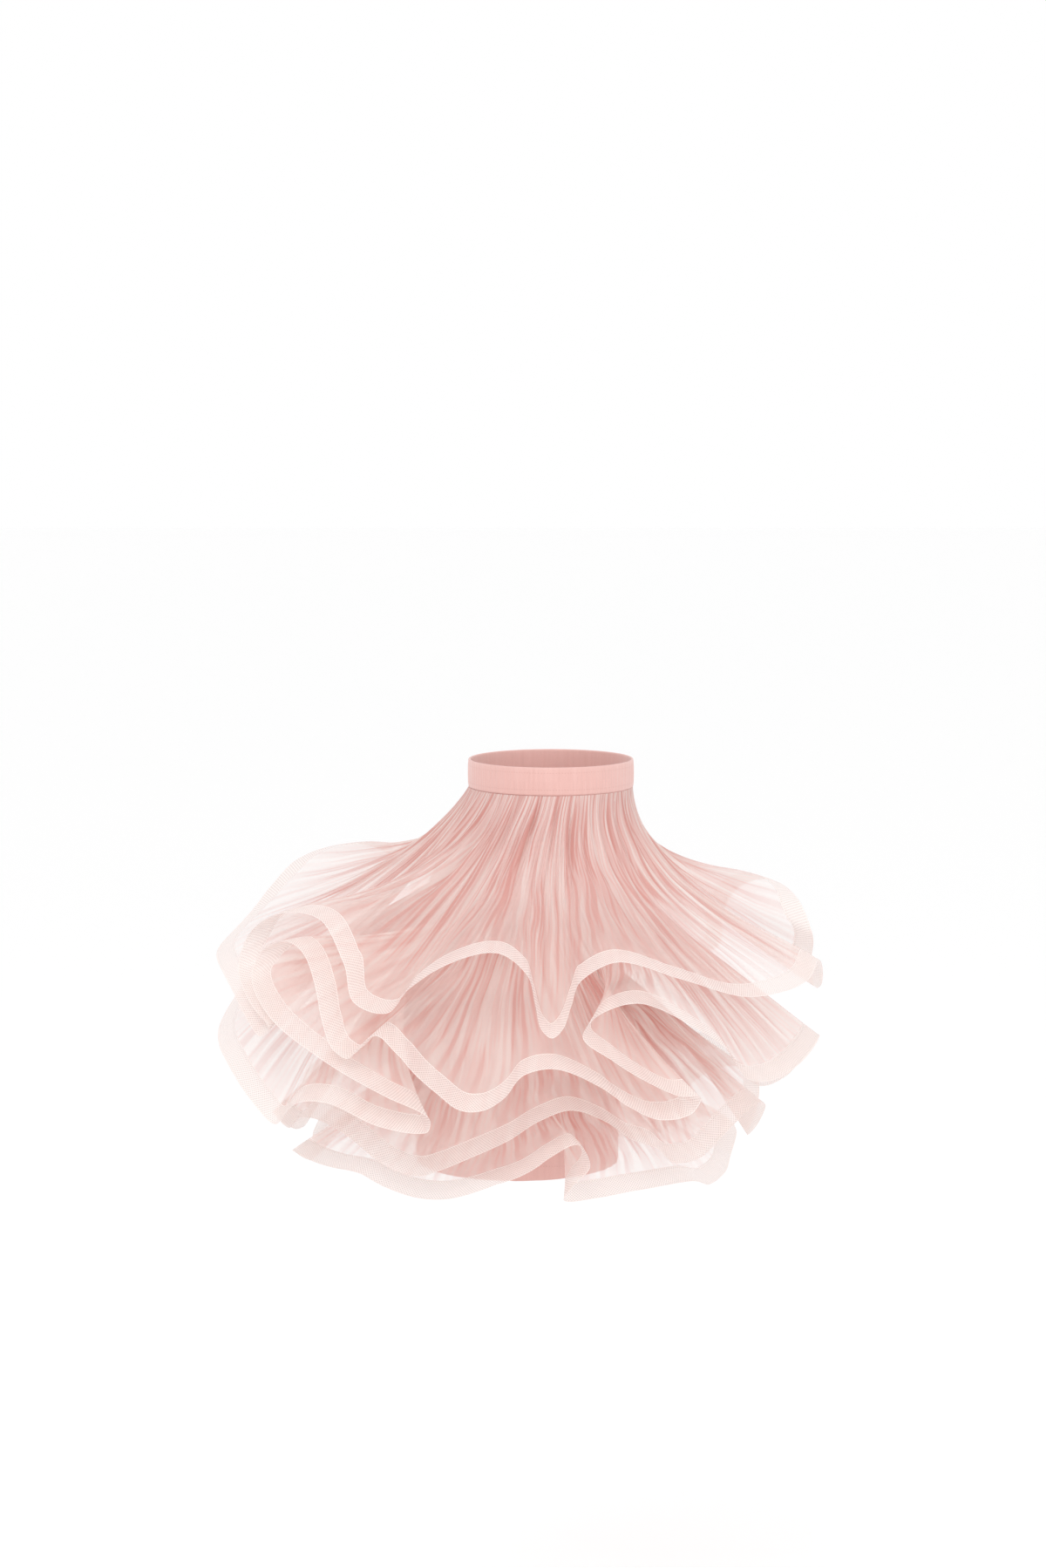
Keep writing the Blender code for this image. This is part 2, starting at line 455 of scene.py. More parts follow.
# For each flounce: its seam's height, then the height, half width, half depth and set-back of the guide
# ring that it bends over, and the share of the shell's width that its hem reaches.
TIERS = {
    "1": (BAND_BOTTOM / MM - 0.3, -112, 176, 116, 27, 1.0, HEM_1),
    "2": (-122, -165, 215, 166, 33, 1.0, HEM_2),
    "3": (-220, -262, 210, 162, 35, 0.9, HEM_3),
    "4": (-312, -345, 192, 145, 36, 0.91, HEM_4),
}
print("rows of each hem table", {tier: len(row[-1]) for tier, row in TIERS.items()})

# %% [markdown]
# A smooth closed curve goes through each table's rows. Between two rows it is a cubic, and its slope at a
# row is that of the line between the row's two neighbours. Reading the curve in even steps of length gives
# cloth that isn't stretched along its hem. The seam's own angle grows with the hem's, evened out, so the
# pleats run straight out where the hem hangs plainly and sweep sideways where it rolls.


# %% The hem as a curve
def cubic(t, first, last, leave, arrive):
    """From first at t = 0 to last at t = 1, with the slope leave at its start and arrive at its end."""
    return (
        (2 * t**3 - 3 * t**2 + 1) * first
        + (t**3 - 2 * t**2 + t) * leave
        + (3 * t**2 - 2 * t**3) * last
        + (t**3 - t**2) * arrive
    )


def smooth_loop(rows):
    """Points of the closed curve through a hem table, and the step that one whole turn makes."""
    points = np.array(rows, float)
    points = np.stack([np.radians(points[:, 0]) * SHELL_HALF_DEPTH, points[:, 1] * MM], axis=1)
    whole_turn = np.array([2 * np.pi * SHELL_HALF_DEPTH, 0.0])
    before = np.roll(points, 1, axis=0)
    before[0] -= whole_turn
    after = np.roll(points, -1, axis=0)
    after[-1] += whole_turn
    back_step = np.linalg.norm(points - before, axis=1)[:, None]
    step = np.linalg.norm(after - points, axis=1)[:, None]
    slope = (after - before) / (step + back_step)
    t = np.linspace(0, 1, WAVE_STEPS, endpoint=False)[None, :, None]
    leave = (slope * step)[:, None, :]
    arrive = (np.roll(slope, -1, axis=0) * step)[:, None, :]
    curve = cubic(t, points[:, None, :], after[:, None, :], leave, arrive)
    return curve.reshape(-1, 2), whole_turn


def hem_wave(rows, columns):
    """Angle and height of the hem, and angle at the seam, at even steps along the hem's length."""
    curve, whole_turn = smooth_loop(rows)
    closed = np.vstack([curve, curve[0] + whole_turn])
    length = np.concatenate([[0], np.cumsum(np.linalg.norm(np.diff(closed, axis=0), axis=1))])
    fine = np.linspace(0, 1, len(curve) + 1)
    even = np.stack([np.interp(fine * length[-1], length, closed[:, k]) for k in (0, 1)], axis=1)
    angle = even[:, 0] / SHELL_HALF_DEPTH
    growth = np.diff(angle)
    apart = np.fft.rfftfreq(len(growth), 1 / len(growth))
    blur = np.exp(-2 * (np.pi * apart * SMOOTHING) ** 2)
    evened = np.fft.irfft(np.fft.rfft(growth) * blur, len(growth))
    evened = np.maximum(evened, LEAST_GATHER * evened.mean())
    seam = np.concatenate([[0], np.cumsum(evened)])
    seam *= 2 * np.pi / seam[-1]
    seam += (angle - seam)[:-1].mean()
    share = np.arange(columns) / columns
    return [np.interp(share, fine, values) for values in (angle, even[:, 1], seam)]


for tier, row in TIERS.items():
    heights = smooth_loop(row[-1])[0][:, 1]
    print("hem", tier, "lies between", round(heights.min(), 3), "and", round(heights.max(), 3), "m")

# %% [markdown]
# ## From hem to cloth
#
# A flounce is a surface of two parameters: how far along the hem, and how far down from the seam. Down the
# cloth each point follows a curve with three supports: the seam, a guide ring that holds the cloth out over
# the hips, and the hem. Angles, heights, widths and depths all follow the same curve. On a crest the cloth
# stands out almost level, and there the weight of the braid pulls the last few centimetres down a little.


# %% The surface of a flounce
def ring(half_width, half_depth, back, height, angle):
    """Points of an ellipse round the body. Angle 0 is the front, 90 degrees the wearer's right."""
    x = -half_width * np.sin(angle)
    y = back - half_depth * np.cos(angle)
    return np.stack([x, y, height + 0.0 * x], axis=-1)


def underskirt_sizes(height):
    """Half width, half depth and set-back of the underskirt at a height."""
    table = np.array(UNDERSKIRT[::-1]) * MM
    return [np.interp(height, table[:, 0], table[:, column]) for column in (1, 2, 3)]


def flounce_surface(tier, wave, levels):
    """(1-v)(1-v) of the seam, 2v(1-v) of the guide ring and v*v of the hem, v being levels.

    Where the cloth leaves its guide ring nearly level, its edge sags by the square of how far it is past
    SAG_START.
    """
    seam_z, guide_z, guide_width, guide_depth, guide_back, reach, _ = TIERS[tier]
    hem_angle, hem_z, seam_angle = wave
    width, depth, back = underskirt_sizes(seam_z * MM)
    share = reach * np.sqrt(1 - ((hem_z - SHELL_MIDDLE) / SHELL_HALF_HEIGHT) ** 2)
    angle, height, half_width, half_depth, set_back = (
        (1 - levels) ** 2 * np.reshape(first, (-1, 1))
        + 2 * levels * (1 - levels) * np.reshape(middle, (-1, 1))
        + levels**2 * np.reshape(last, (-1, 1))
        for first, middle, last in (
            (seam_angle, seam_angle, hem_angle),
            (seam_z * MM, guide_z * MM, hem_z),
            (width + SEAM_OUT, guide_width * MM, SHELL_HALF_WIDTH * share),
            (depth + SEAM_OUT, guide_depth * MM, SHELL_HALF_DEPTH * share),
            (back, guide_back * MM, SHELL_BACK),
        )
    )
    outwards = SHELL_HALF_DEPTH * share - guide_depth * MM
    flatness = outwards / np.hypot(outwards, guide_z * MM - hem_z)
    sag = SAG[tier] * np.clip((flatness - SAG_FROM) / (SAG_FULL - SAG_FROM), 0, 1)
    height = height - sag[:, None] * np.clip((levels - SAG_START) / (1 - SAG_START), 0, 1) ** 2
    return ring(half_width, half_depth, set_back, height, angle)


def outward(points):
    """The direction out of the cloth: along the columns crossed with down the rows."""
    along = np.roll(points, -1, axis=0) - np.roll(points, 1, axis=0)
    normals = np.cross(along, np.gradient(points, axis=1))
    return normals / np.linalg.norm(normals, axis=-1, keepdims=True)


def braid_start(tier, wave):
    """The level where the braid starts in each column, so that it is one width all along the hem."""
    near_hem = flounce_surface(tier, wave, np.tile([1 - LEVEL_STEP, 1.0], (len(wave[0]), 1)))
    hem = near_hem[:, 1]
    along = np.roll(hem, -1, axis=0) - np.roll(hem, 1, axis=0)
    along /= np.linalg.norm(along, axis=1, keepdims=True)
    per_level = np.linalg.norm(np.cross(hem - near_hem[:, 0], along), axis=1) / LEVEL_STEP
    return np.clip(1 - BRAID_WIDTH / per_level, *BRAID_LEVELS)


# %% [markdown]
# ## Pleats and gathers
#
# The organza was crushed into fine upright pleats before it was sewn, and then gathered into its seam. Both
# are waves along the cloth. A plain sine looks like corrugated card, so the count of waves drifts slowly and
# so does their height. The braid presses the pleats flat, so they die out towards it.


# %% Irregular waves
# How many turns a pleat's place wanders round the cloth and down it, how fast it does so, and the mean height
# of a pleat and how far it differs from that, as shares of the highest. The last two numbers say how many
# sines make the drift of its place and of its height.
WANDER_ROUND = 2.2
WANDER_DOWN = 0.5
WANDER_SPEED = 5.0
WANDER_SHIFT = 3.0
MEAN_PLEAT, UNEVEN_PLEAT = 0.65, 0.35
PLACE_WAVES, HEIGHT_WAVES = 9, 23


def drift(share, seed, strongest=5):
    """A slow closed random curve between about -1 and 1: a sum of a few sines with random phases."""
    random = np.random.default_rng(seed)
    turns = np.arange(1, strongest + 1)
    phases = random.uniform(0, 2 * np.pi, strongest)
    weights = random.uniform(0.5, 1.0, strongest)
    waves = np.sin(2 * np.pi * share[..., None] * turns + phases) * weights
    return waves.sum(axis=-1) / weights.sum()


def pleat_wave(share, level, count, seed):
    """About count uneven folds round the cloth, wandering a little on their way down it.

    It is a sine of count turns. Its phase drifts slowly round the cloth and swings down it, and its height
    drifts too.
    """
    down = WANDER_DOWN * np.sin(WANDER_SPEED * level + WANDER_SHIFT * drift(share, seed + 1))
    wander = WANDER_ROUND * drift(share, seed, PLACE_WAVES) + down
    height = MEAN_PLEAT + UNEVEN_PLEAT * drift(share, seed + 2, HEIGHT_WAVES)
    return height * np.sin(2 * np.pi * count * share + 2 * np.pi * wander)


# %% Putting a grid into a mesh
def lengths_round(points):
    """The way round a closed row of points: 0 at the first, then each step added, and the whole way last."""
    steps = np.linalg.norm(np.roll(points, -1, axis=0) - points, axis=-1)
    return np.concatenate([[0], np.cumsum(steps)])


def cloth_mesh(name, points, across, down):
    """A closed ring of faces over a grid of points, with the cloth's own coordinates as its UV map.

    across holds one more value than there are columns, because the last column of faces closes the ring.
    down has a value for each column and row, and one row more where the rows close into a tube.
    """
    columns, rows = points.shape[:2]
    here = np.arange(columns * rows).reshape(columns, rows)
    if down.shape[1] > rows:
        here = np.concatenate([here, here[:, :1]], axis=1)
    here = np.concatenate([here, here[:1]])
    down = np.concatenate([down, down[:1]])
    across = across[:, None] + 0 * down

    def corners(grid):
        return np.stack([grid[:-1, :-1], grid[1:, :-1], grid[1:, 1:], grid[:-1, 1:]], axis=2)

    mesh = bpy.data.meshes.new(name)
    mesh.from_pydata(points.reshape(-1, 3), [], corners(here).reshape(-1, 4))
    layer = mesh.uv_layers.new(name="cloth")
    layer.data.foreach_set("uv", np.stack([corners(across), corners(down)], axis=-1).reshape(-1))
    mesh.shade_smooth()
    piece = bpy.data.objects.new(name, mesh)
    bpy.context.scene.collection.objects.link(piece)
    print(name, "has", columns, "by", rows, "points")
    return piece


# %% [markdown]
# ## The organza
#
# Organza is a thin stiff gauze. One layer over white is hardly pink, and many layers over the underskirt are
# a full rose. So its material is mostly see-through, and the pleats, where the gauze lies double, are drawn
# as finer, denser lines. Their deeper pink, and that of the broad creases, is partly the doubled gauze and
# partly painted shade in the folds. Near a seam the gathers crowd together and the cloth is almost solid.
# The crinkles could be modelled one by one, but there are thousands of them. Noise that is drawn out down the
# cloth gives lines that never repeat, and costs no faces. Light also passes through the gauze, so the inside
# of a roll isn't dark.

# %% The organza's finish
ORGANZA_PALE = (0.94, 0.855, 0.817)
# The lines' colour: the deeper pink of doubled gauze, and painted shade in the pleats and creases.
ORGANZA_DOUBLED_AND_SHADE = (0.75, 0.42, 0.38)
THROUGH = 0.45

# How far the lines sway, and how often they change: along the hem for each metre, and down the cloth for each
# whole length of it.
CRUSH = 25 * MM
SWAYS = (6.0, 2.5)
FOLDS = (20.0, 0.6)
COARSE_PER_M = 62.0
FINE = (150.0, 2.4)
COARSE_SHARE, FINE_SHARE = 0.55, 0.45

# Noise below the first number draws nothing, and above the second a full line.
COARSE_STEP = (0.45, 0.57)
FINE_STEP = (0.46, 0.58)
CREASE_STEP = (0.55, 0.70)

# How strong a pleat's line is, what it gains at the seam and loses at the hem, and a crease's line.
PLEAT_LINE = 0.8
STRONGER_AT_SEAM = 0.1
WEAKER_AT_HEM = 0.35
CREASE_LINE = 0.45

# Where the cover falls from the seam's to the hem's, what a full line adds to it, how far the cover between
# lines lies under the hem's own, and the most that the cloth covers.
COVER_FALL = (0.35, 1.05)
LINE_COVER = 0.18
BETWEEN_LINES = 0.05
MOST_COVER = 0.97
ORGANZA_RELIEF = 0.5 * MM


def organza(name, seam_cover, hem_cover):
    """A see-through cloth with crushed pleats: denser, deeper lines on a pale ground.

    seam_cover and hem_cover are how much the cloth hides at its seam and at its hem. A line is drawn where
    noise is high: coarse and fine pleats all the way down, a third weaker beside the braid, and broad creases
    that fade away from the seam. The cover falls from the seam's to the hem's, and lines add to it. The
    lines' deeper colour is partly the doubled gauze and partly painted shade in the pleats and creases.
    """
    recipe = Recipe(name)
    across, down = recipe.uv()
    sway = recipe.noise(across * SWAYS[0], down * SWAYS[1], detail=1.0) - 0.5
    bent = across + sway * CRUSH
    fold = recipe.noise(bent * FOLDS[0], down * FOLDS[1], detail=1.0)
    coarse = recipe.noise(bent * COARSE_PER_M, down, detail=0.0)
    fine = recipe.noise(bent * FINE[0], down * FINE[1], detail=0.0)
    near_seam = 1.0 - down.between(0.1, 0.9)
    crease = fold.between(*CREASE_STEP) * near_seam
    pleat = coarse.between(*COARSE_STEP) * COARSE_SHARE + fine.between(*FINE_STEP) * FINE_SHARE
    free = 1.0 - down.between(0.85, 1.0) * WEAKER_AT_HEM
    line = pleat * free * (PLEAT_LINE + STRONGER_AT_SEAM * near_seam) + crease * CREASE_LINE
    gathered = (1.0 - down.between(*COVER_FALL)) * (seam_cover - hem_cover)
    cover = gathered + line * LINE_COVER + (hem_cover - BETWEEN_LINES)
    cover = cover.math("MINIMUM", MOST_COVER)
    # The lines are drawn deeper: partly doubled gauze, partly painted shade in the folds.
    colour = recipe.colour(line, ORGANZA_PALE, ORGANZA_DOUBLED_AND_SHADE)
    height = (coarse * 0.6 + fine * 0.4) * free
    bump = recipe.node("ShaderNodeBump", {"Strength": 0.35, "Distance": ORGANZA_RELIEF, "Height": height})
    cloth = recipe.node(
        "ShaderNodeBsdfPrincipled",
        {
            "Base Color": colour,
            "Roughness": 0.55,
            "Sheen Weight": 0.25,
            "Sheen Roughness": 0.4,
            "Specular IOR Level": 0.3,
            "Normal": bump,
        },
    )
    return recipe.veil(cover, cloth, colour, bump, THROUGH)


# %% [markdown]
# ## The braid
#
# The braid is a flat plait of fine clear threads that cross at a slant, with a firm edge along both sides.
# It is paler and denser than the organza. Its threads are finer than a millimetre and far too many to model,
# so they are drawn, as two slanted sets of lines. The lines lie about 2 mm apart, further apart than the
# real threads, so that the mesh still shows from the camera. A line of machine stitches runs inside its
# upper edge.

# %% The braid's finish
BRAID_COLOUR = (0.90, 0.82, 0.785)
BRAID_GAP = (0.78, 0.63, 0.59)
THREADS_PER_M = 320.0
BRAID_THROUGH = 0.3
BRAID_RELIEF = 0.3 * MM

# The cover of a gap, what a thread, an edge, a stitch and uneven weaving each add to it, and the most of it.
GAP_COVER = 0.54
THREAD_COVER, EDGE_COVER, STITCH_COVER, UNEVEN_COVER = 0.2, 0.18, 0.06, 0.1
MOST_BRAID_COVER = 0.96

# The firm edge fades out between two distances from the braid's rim. The stitches lie in a row at a distance
# from its upper rim, one to each stitch length.
EDGE_FULL, EDGE_END = 0.9 * MM, 1.6 * MM
STITCH_ROW = 2.6 * MM
STITCH_HALF = (0.2 * MM, 0.5 * MM)
BRAID_STITCH = 3.0 * MM

# Between these values of its sine a thread fades in.
THREAD_STEP = (-0.2, 0.9)


def braid_finish(name):
    """A pale mesh with firm edges and a row of stitches.

    A thread lies where the sine of across + down, or that of across - down, is high. Threads, edges and
    stitches each add to the cover, and the gaps between threads are darker.
    """
    recipe = Recipe(name)
    across, down = recipe.uv()
    turn = 2 * np.pi
    slant_1 = ((across + down) * (THREADS_PER_M * turn)).math("SINE")
    slant_2 = ((across - down) * (THREADS_PER_M * turn)).math("SINE")
    mesh = slant_1.math("MAXIMUM", slant_2).between(*THREAD_STEP)
    from_middle = (down - BRAID_WIDTH / 2).math("ABSOLUTE")
    edge = from_middle.between(BRAID_WIDTH / 2 - EDGE_END, BRAID_WIDTH / 2 - EDGE_FULL)
    stitch_row = 1.0 - (down - STITCH_ROW).math("ABSOLUTE").between(*STITCH_HALF)
    stitch = stitch_row * (across * (turn / BRAID_STITCH)).math("SINE").between(-0.6, 0.0)
    uneven = recipe.noise(across * 30.0, down * 60.0)
    cover = GAP_COVER + mesh * THREAD_COVER + edge * EDGE_COVER + stitch * STITCH_COVER
    cover = cover + uneven * UNEVEN_COVER
    cover = cover.math("MINIMUM", MOST_BRAID_COVER)
    shade = (1.0 - mesh) * (0.55 - 0.5 * edge) + stitch_row * 0.1
    colour = recipe.colour(shade, BRAID_COLOUR, BRAID_GAP)
    height = mesh * 0.3 + edge + stitch
    bump = recipe.node("ShaderNodeBump", {"Strength": 0.5, "Distance": BRAID_RELIEF, "Height": height})
    cloth = recipe.node(
        "ShaderNodeBsdfPrincipled",
        {
            "Base Color": colour,
            "Roughness": 0.38,
            "Sheen Weight": 0.15,
            "Specular IOR Level": 0.5,
            "Normal": bump,
        },
    )
    return recipe.veil(cover, cloth, colour, bump, BRAID_THROUGH)


# %% [markdown]
# ## The underskirt and the waistband
#
# The underskirt is an opaque crepe: a matt cloth with a very fine pebbled weave. Its hem is turned up and
# stitched. The waistband is an elastic in a casing of the same cloth, so it is ruched into small upright
# folds between two rows of stitches. One recipe serves both: the weave is three sizes of noise, from pebbles
# to broad shading, and each stitch row is a groove with raised dashes. A stitch is too small to model here.

# %% The opaque cloth's finish
CREPE_COLOUR = (0.74, 0.46, 0.42)
CREPE_SHADE = (0.66, 0.38, 0.34)
PEBBLES_PER_M = 900.0
THREADS = (260.0, 9.0)
BROAD_PER_M = 9.0
CREPE_STITCH = 3.2 * MM
CREPE_RELIEF = 0.25 * MM
PEBBLE_SHADE, THREAD_SHADE, BROAD_SHADE = 0.35, 0.4, 0.35
GROOVE_DEPTH, STITCH_RISE, GROOVE_SHADE = 1.6, 0.6, 0.5


def crepe(name, stitch_rows):
    """A matt, opaque cloth with rows of stitches.

    stitch_rows are the places of the rows, in metres down the cloth. The shade is the sum of the three
    noises, with painted shade added in a row's groove between its stitches.
    """
    recipe = Recipe(name)
    across, down = recipe.uv()
    pebble = recipe.noise(across * PEBBLES_PER_M, down * PEBBLES_PER_M, detail=1.0)
    threads = recipe.noise(across * THREADS[0], down * THREADS[1])
    broad = recipe.noise(across * BROAD_PER_M, down * BROAD_PER_M)
    shade = pebble * PEBBLE_SHADE + threads * THREAD_SHADE + broad * BROAD_SHADE
    height = pebble * 0.5 + threads * 0.5
    for row in stitch_rows:
        line = 1.0 - (down - row).math("ABSOLUTE").between(0.25 * MM, 0.6 * MM)
        dash = (across * (2 * np.pi / CREPE_STITCH)).math("SINE").between(-0.5, 0.1)
        height = height - line * (1.0 - dash) * GROOVE_DEPTH + line * dash * STITCH_RISE
        # Painted shade in the groove between the stitches.
        shade = shade + line * (1.0 - dash) * GROOVE_SHADE
    colour = recipe.colour(shade.between(0.3, 1.0), CREPE_COLOUR, CREPE_SHADE)
    bump = recipe.node("ShaderNodeBump", {"Strength": 0.4, "Distance": CREPE_RELIEF, "Height": height})
    cloth = recipe.node(
        "ShaderNodeBsdfPrincipled",
        {"Base Color": colour, "Roughness": 0.62, "Sheen Weight": 0.3, "Normal": bump},
    )
    return recipe.finish(cloth)


# %% [markdown]
# ## Making the flounces
#
# Each flounce is one grid from its seam to its braid, and its braid is a second grid that goes on from there
# to the hem. Both read the same surface, so they meet exactly. The pleats are added along the cloth's own
# outward direction, and so are the main creases, which fan out from the seam. A seam gathers far more cloth
# than it is long, so gathers swell out below it. They are highest a little above the middle of the cloth and
# fade towards the hem.

# %% Making the flounces
GRID = {"1": (1440, 58), "2": (1500, 54), "3": (1200, 42), "4": (1080, 34)}
BRAID_ROWS = 7
COVER = {"1": (0.95, 0.40), "2": (0.93, 0.50), "3": (0.93, 0.48), "4": (0.84, 0.44)}
PLEATS = {"1": 210, "2": 220, "3": 170, "4": 150}
GATHERS = {"1": 44, "2": 40, "3": 34, "4": 30}
PLEAT_HEIGHT = 0.8 * MM
GATHER_HEIGHT = 3.0 * MM
GATHER_DRIFT = 0.4

# The share of the cloth's length over which the seam holds the pleats low, the least that it leaves of them,
# and the share over which the braid presses them flat.
HELD, HELD_LEAST = 0.25, 0.25
PRESSED = 0.3

# The main creases, given one by one: where each starts on the seam in degrees, its depth in millimetres, its
# half width in degrees, and the share of the flounce's length that it runs down.
CREASES = {
    "1": (
        (12, 4, 1.6, 0.7),
        (26, 5, 1.8, 0.85),
        (38, 6, 1.8, 0.9),
        (51, 4, 1.4, 0.6),
        (73, 5, 1.6, 0.9),
        (84, 4, 1.2, 0.7),
        (97, 5, 1.6, 0.6),
        (113, 5, 1.7, 0.75),
        (126, 6, 1.8, 0.8),
        (139, 5, 1.6, 0.9),
        (160, 4, 1.5, 0.7),
        (186, 5, 1.8, 0.8),
        (211, 5, 1.6, 0.7),
        (236, 6, 1.8, 0.85),
        (262, 4, 1.5, 0.7),
        (289, 5, 1.7, 0.8),
        (314, 5, 1.6, 0.7),
        (340, 4, 1.6, 0.8),
    ),
    "2": (
        (20, 4, 1.4, 0.7),
        (44, 5, 1.5, 0.8),
        (62, 5, 1.4, 0.7),
        (82, 4, 1.3, 0.8),
        (95, 5, 1.4, 0.7),
        (109, 4, 1.4, 0.8),
        (131, 5, 1.5, 0.7),
        (158, 4, 1.4, 0.8),
        (190, 5, 1.5, 0.7),
        (226, 4, 1.4, 0.8),
        (261, 5, 1.5, 0.7),
        (297, 4, 1.4, 0.8),
        (331, 5, 1.5, 0.7),
    ),
    "3": (
        (33, 4, 1.4, 0.7),
        (70, 4, 1.3, 0.8),
        (101, 4, 1.4, 0.7),
        (137, 4, 1.3, 0.8),
        (179, 4, 1.4, 0.7),
        (224, 4, 1.3, 0.8),
        (270, 4, 1.4, 0.7),
        (318, 4, 1.3, 0.8),
    ),
    "4": (
        (15, 3, 1.4, 0.7),
        (60, 3, 1.3, 0.8),
        (92, 3, 1.4, 0.7),
        (128, 3, 1.3, 0.8),
        (200, 3, 1.4, 0.7),
        (285, 3, 1.3, 0.8),
    ),
}


def swell(along):
    """Half a sine from 0 to 1, with its peak a little before the middle."""
    return np.sin(np.pi * along**0.8)


def crease_dents(tier, seam_angle, down):
    """Each crease is a bell curve across the seam's angle, and half a sine down its length."""
    dents = 0.0 * down
    for start, depth, half_width, end in CREASES[tier]:
        aside = (np.degrees(seam_angle) - start + 180) % 360 - 180
        along = np.clip(down / end, 0, 1)
        dents -= depth * MM * np.exp(-((aside / half_width) ** 2))[:, None] * swell(along)
    return dents


def make_flounce(tier):
    """A flounce's cloth and braid, the length of its hem and the mean depth of its cloth.

    The relief is the sum of three: fine pleats, held low at the seam and pressed flat at the braid, gathers
    that swell and fade as half a sine down the cloth, and the creases.
    """
    columns, rows = GRID[tier]
    wave = hem_wave(TIERS[tier][-1], columns)
    start = braid_start(tier, wave)
    down = np.tile(np.linspace(0, 1, rows), (columns, 1))
    points = flounce_surface(tier, wave, down * start[:, None])
    share = np.repeat(np.arange(columns)[:, None] / columns, rows, axis=1)
    seed = 100 * int(tier)
    pleats = pleat_wave(share, down, PLEATS[tier], seed) * PLEAT_HEIGHT
    gathers = pleat_wave(share, GATHER_DRIFT * down, GATHERS[tier], seed + 7) * GATHER_HEIGHT
    pressed = np.clip((1 - down) / PRESSED, 0, 1) ** 2
    held = np.clip(down / HELD, HELD_LEAST, 1)
    relief = pleats * pressed * held + gathers * swell(down) + crease_dents(tier, wave[2], down)
    points = points + outward(points) * relief[..., None]
    cloth = cloth_mesh(f"organza_{tier}", points, lengths_round(points[:, -1]), down)
    cloth.data.materials.append(organza(f"organza_{tier}", *COVER[tier]))

    levels = start[:, None] + (1 - start[:, None]) * np.linspace(0, 1, BRAID_ROWS)[None, :]
    band = flounce_surface(tier, wave, levels)
    width = np.tile(np.linspace(0, BRAID_WIDTH, BRAID_ROWS), (columns, 1))
    across = lengths_round(band[:, BRAID_ROWS // 2])
    braid = cloth_mesh(f"hem_braid_{tier}", band, across, width)
    depth = np.linalg.norm(np.diff(points, axis=1), axis=-1).sum(axis=1).mean()
    return cloth, braid, across[-1], depth


def surface_area(piece):
    """The sum of a piece's faces, in square metres."""
    return sum(face.area for face in piece.data.polygons)


braid_material = braid_finish("hem_braid")
flounces = {}
for tier in TIERS:
    cloth, braid, hem, depth = make_flounce(tier)
    braid.data.materials.append(braid_material)
    flounces[tier] = cloth, braid, hem, depth
    area = surface_area(cloth)
    print("flounce", tier, "hem", round(hem, 2), "m, depth", round(depth, 3), "m, area", round(area, 3))

# %% [markdown]
# ## Making the underskirt and the waistband
#
# The underskirt is a tube through the rings of its table, read smoothly, with a few soft upright folds that
# deepen towards the hem. The folds turn inwards more than outwards, so they stay clear of the seams. The
# waistband is a short ruched ring, closed over its top and bottom edges so that it has the thickness of an
# elastic. Both could be turned from a profile, but the waist is an oval and so is each ring below it.


# %% Making the underskirt
def smooth_rings(table, rows):
    """Rows of ring sizes between the table's own, each a cubic through its neighbours' sizes."""
    table = np.array(table, float) * MM
    spots = np.linspace(0, len(table) - 1, rows)
    first = np.clip(spots.astype(int), 0, len(table) - 2)
    t = (spots - first)[:, None]
    slopes = np.gradient(table, axis=0)
    return cubic(t, table[first], table[first + 1], slopes[first], slopes[first + 1])


UNDER_GRID = (420, 90)
UNDER_FOLDS = 19
UNDER_FOLD = 1.3 * MM
UNDER_FOLD_OUTWARDS = 0.2 * MM
UNDER_SEED = 900
HEM_STITCHES = 14 * MM


def make_underskirt():
    """The tube, its length round the hem and its mean length down.

    The folds grow with the 1.5th power of the way down, and outwards they stop at UNDER_FOLD_OUTWARDS.
    """
    columns, rows = UNDER_GRID
    angle = np.linspace(0, 2 * np.pi, columns, endpoint=False)
    sizes = smooth_rings(UNDERSKIRT, rows)
    points = np.stack([ring(w, d, b, z, angle) for z, w, d, b in sizes], axis=1)
    share = np.repeat((angle / (2 * np.pi))[:, None], rows, axis=1)
    down = np.tile(np.linspace(0, 1, rows), (columns, 1))
    folds = pleat_wave(share, down, UNDER_FOLDS, UNDER_SEED) * UNDER_FOLD * down**1.5
    folds = np.minimum(folds, UNDER_FOLD_OUTWARDS)
    points = points + outward(points) * folds[..., None]
    across = lengths_round(points[:, -1])
    length = np.cumsum(np.linalg.norm(np.diff(points, axis=1), axis=-1), axis=1)
    length = np.concatenate([np.zeros((columns, 1)), length], axis=1)
    piece = cloth_mesh("underskirt_cloth", points, across, length)
    total = length[:, -1].mean()
    piece.data.materials.append(crepe("underskirt_crepe", [total - HEM_STITCHES]))
    return piece, across[-1], total


# %% Making the waistband
BAND_GRID = (720, 24)
BAND_HALF_WALL = 1.6 * MM
BAND_SQUARE_OUT, BAND_SQUARE_FALL = 0.35, 0.9
BAND_SEED = 940
BAND_STITCHES = 9 * MM
RUCHES = 96
RUCHE_HEIGHT = 0.45 * MM
RUCHE_INSIDE = 0.4


